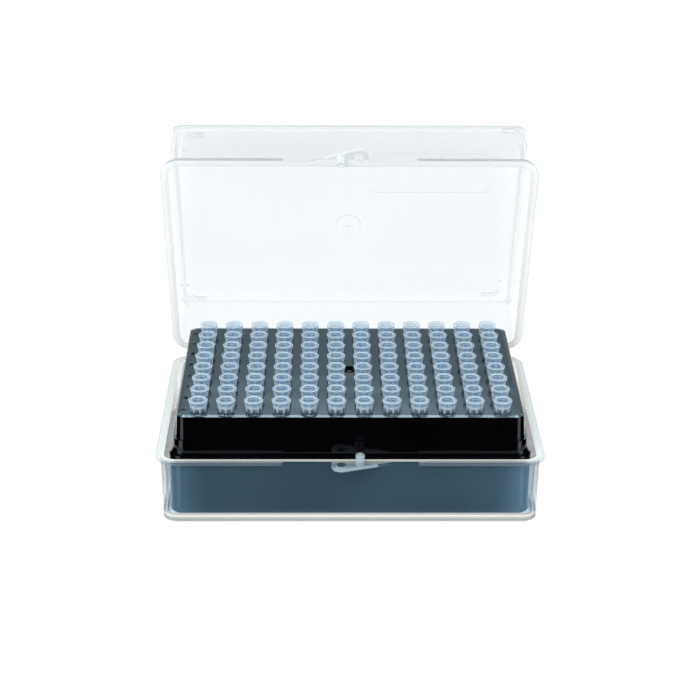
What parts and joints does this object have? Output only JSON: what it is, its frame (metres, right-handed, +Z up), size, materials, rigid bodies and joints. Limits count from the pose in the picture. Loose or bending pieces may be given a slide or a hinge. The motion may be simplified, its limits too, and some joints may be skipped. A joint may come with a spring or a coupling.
{
  "type": "box of pipette tips",
  "caption": "Hinged clear box, lid open, holding a black tiered rack of ribbed, hollow pipette tips on a square grid.",
  "frame": {"origin": "centre of the box's footprint, on the plane its feet stand on", "axes": "+Z up, +X along the length to the right, -Y towards the latch, +Y towards the hinge"},
  "size_m": [0.1272, 0.1124, 0.1122],
  "materials": {
    "shell_clear": "clear, faintly milky moulded plastic",
    "rack_black": "glossy black moulded plastic",
    "tip_clear": "clear moulded plastic"
  },
  "bodies": {
    "base": {"base": "shell_clear", "rack": "rack_black", "tips_column_01": "tip_clear", "tips_column_02": "tip_clear", "tips_column_03": "tip_clear", "tips_column_04": "tip_clear", "tips_column_05": "tip_clear", "tips_column_06": "tip_clear", "tips_column_07": "tip_clear", "tips_column_08": "tip_clear", "tips_column_09": "tip_clear", "tips_column_10": "tip_clear", "tips_column_11": "tip_clear", "tips_column_12": "tip_clear"},
    "lid": {"lid": "shell_clear"}
  },
  "joints": [
    {"name": "lid_hinge", "type": "hinge", "parent": "base", "child": "lid", "pos_m": [0, 0.0449, 0.0235], "axis": [-1, 0, 0], "range_deg": [-70.5, 109.5]}
  ]
}
